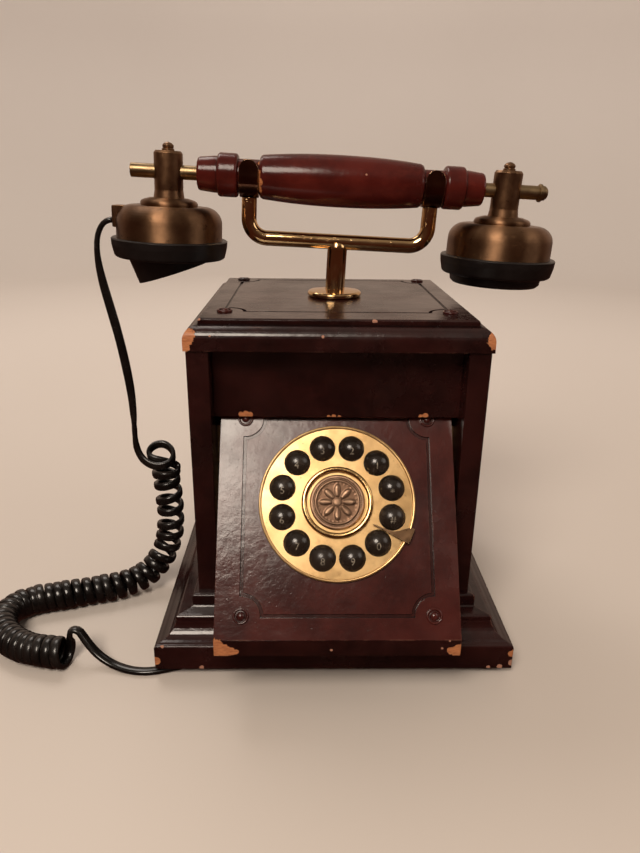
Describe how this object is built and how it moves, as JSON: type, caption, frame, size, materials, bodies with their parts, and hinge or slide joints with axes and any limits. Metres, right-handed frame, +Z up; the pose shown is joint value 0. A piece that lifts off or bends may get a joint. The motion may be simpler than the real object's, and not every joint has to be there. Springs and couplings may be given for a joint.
{
  "type": "vintage cradle telephone",
  "caption": "Desk telephone in antique style: wooden cabinet with moulded plinth, sloping dial of push buttons, brass cradle with handset, and a curly cord.",
  "frame": {"origin": "on the table, under the centre of the cabinet and its plinth, between the four rubber feet", "axes": "+Z up; -Y is the front, where the dial slopes; +X is to the right of someone who faces the dial, so the mouthpiece end of the handset is at -X"},
  "size_m": [0.3195, 0.2158, 0.2651],
  "materials": {
    "cabinet_lacquer": "dark oxblood lacquer, glossy and uneven, chipped to bare wood at some corners",
    "handset_lacquer": "dark red lacquer over turned wood, glossy",
    "bare_board": "unfinished brown board",
    "black_rubber": "matt",
    "polished_brass": "polished, with light tarnish",
    "antique_bronze": "brushed and darkened, satin",
    "worn_brass": "dulled brass, satin",
    "dial_gold": "pale gold, satin, with tarnish spots",
    "ring_brass": "polished, darkened in the groove",
    "badge_bronze": "dark bronze, rubbed bright on its high points",
    "black_bakelite": "black, glossy where it has been handled",
    "key_plastic": "black-brown, glossy",
    "circuit_board": "green board",
    "zinc_steel": "zinc plated",
    "black_plastic": "moulded, matt",
    "cord_pvc": "black-brown soft plastic, low sheen"
  },
  "bodies": {
    "cabinet": {"plinth_moulding": "cabinet_lacquer", "base_plate": "bare_board", "rubber_feet": "black_rubber", "left_side_panel": "cabinet_lacquer", "right_side_panel": "cabinet_lacquer", "back_panel": "bare_board", "front_board": "cabinet_lacquer", "front_wall": "bare_board", "top_board": "cabinet_lacquer", "corner_studs": "cabinet_lacquer", "dial_panel": "cabinet_lacquer", "dial_box_sides": "cabinet_lacquer", "dial_box_floor": "cabinet_lacquer", "dial_plate": "dial_gold", "dial_bezel": "dial_gold", "centre_ring": "ring_brass", "centre_badge": "badge_bronze", "finger_stop": "badge_bronze", "keypad_board": "circuit_board", "keypad_mat": "black_rubber", "stem_flange": "polished_brass", "hook_switch": "zinc_steel", "main_board": "circuit_board", "ringer": "black_plastic", "line_jack": "black_plastic", "cord_gland": "black_plastic", "case_screws": "zinc_steel", "cord_coil": "cord_pvc", "cord_lead": "cord_pvc"},
    "hook": {"cradle_stem": "polished_brass", "cradle_bar": "polished_brass", "cradle_forks": "polished_brass", "stem_collar": "zinc_steel", "hook_spring": "zinc_steel"},
    "handset": {"handset_grip": "handset_lacquer", "end_collars": "handset_lacquer", "handset_rod": "worn_brass", "rod_finial": "worn_brass", "cup_posts": "antique_bronze", "post_screws": "antique_bronze", "transmitter_bell": "antique_bronze", "receiver_bell": "antique_bronze", "mouthpiece": "black_bakelite", "receiver_cap": "black_bakelite", "microphone": "zinc_steel", "receiver_capsule": "zinc_steel", "cord_bracket": "antique_bronze", "cord_upper": "cord_pvc"},
    "key_1_button": {"key_1": "key_plastic"},
    "key_2_button": {"key_2": "key_plastic"},
    "key_3_button": {"key_3": "key_plastic"},
    "key_4_button": {"key_4": "key_plastic"},
    "key_5_button": {"key_5": "key_plastic"},
    "key_6_button": {"key_6": "key_plastic"},
    "key_7_button": {"key_7": "key_plastic"},
    "key_8_button": {"key_8": "key_plastic"},
    "key_9_button": {"key_9": "key_plastic"},
    "key_0_button": {"key_0": "key_plastic"},
    "key_hash_button": {"key_hash": "key_plastic"},
    "key_star_button": {"key_star": "key_plastic"}
  },
  "joints": [
    {"name": "handset_lift", "type": "slide", "parent": "cabinet", "child": "handset", "axis": [0.0419, 0, 0.9991], "range_m": [0, 0.12]},
    {"name": "hook_rise", "type": "slide", "parent": "cabinet", "child": "hook", "axis": [0.0419, 0, 0.9991], "range_m": [0, 0.005], "deforming": ["hook_spring"]},
    {"name": "key_1_press", "type": "slide", "parent": "cabinet", "child": "key_1_button", "axis": [0, 0.831, -0.5563], "range_m": [0, 0.002], "stiffness_N_per_m": 200, "springref_m": -0.001},
    {"name": "key_2_press", "type": "slide", "parent": "cabinet", "child": "key_2_button", "axis": [0, 0.831, -0.5563], "range_m": [0, 0.002], "stiffness_N_per_m": 200, "springref_m": -0.001},
    {"name": "key_3_press", "type": "slide", "parent": "cabinet", "child": "key_3_button", "axis": [0, 0.831, -0.5563], "range_m": [0, 0.002], "stiffness_N_per_m": 200, "springref_m": -0.001},
    {"name": "key_4_press", "type": "slide", "parent": "cabinet", "child": "key_4_button", "axis": [0, 0.831, -0.5563], "range_m": [0, 0.002], "stiffness_N_per_m": 200, "springref_m": -0.001},
    {"name": "key_5_press", "type": "slide", "parent": "cabinet", "child": "key_5_button", "axis": [0, 0.831, -0.5563], "range_m": [0, 0.002], "stiffness_N_per_m": 200, "springref_m": -0.001},
    {"name": "key_6_press", "type": "slide", "parent": "cabinet", "child": "key_6_button", "axis": [0, 0.831, -0.5563], "range_m": [0, 0.002], "stiffness_N_per_m": 200, "springref_m": -0.001},
    {"name": "key_7_press", "type": "slide", "parent": "cabinet", "child": "key_7_button", "axis": [0, 0.831, -0.5563], "range_m": [0, 0.002], "stiffness_N_per_m": 200, "springref_m": -0.001},
    {"name": "key_8_press", "type": "slide", "parent": "cabinet", "child": "key_8_button", "axis": [0, 0.831, -0.5563], "range_m": [0, 0.002], "stiffness_N_per_m": 200, "springref_m": -0.001},
    {"name": "key_9_press", "type": "slide", "parent": "cabinet", "child": "key_9_button", "axis": [0, 0.831, -0.5563], "range_m": [0, 0.002], "stiffness_N_per_m": 200, "springref_m": -0.001},
    {"name": "key_0_press", "type": "slide", "parent": "cabinet", "child": "key_0_button", "axis": [0, 0.831, -0.5563], "range_m": [0, 0.002], "stiffness_N_per_m": 200, "springref_m": -0.001},
    {"name": "key_hash_press", "type": "slide", "parent": "cabinet", "child": "key_hash_button", "axis": [0, 0.831, -0.5563], "range_m": [0, 0.002], "stiffness_N_per_m": 200, "springref_m": -0.001},
    {"name": "key_star_press", "type": "slide", "parent": "cabinet", "child": "key_star_button", "axis": [0, 0.831, -0.5563], "range_m": [0, 0.002], "stiffness_N_per_m": 200, "springref_m": -0.001}
  ],
  "couplings": [
    {"joint": "hook_rise", "follows": "handset_lift", "ratio": 0.0416}
  ]
}
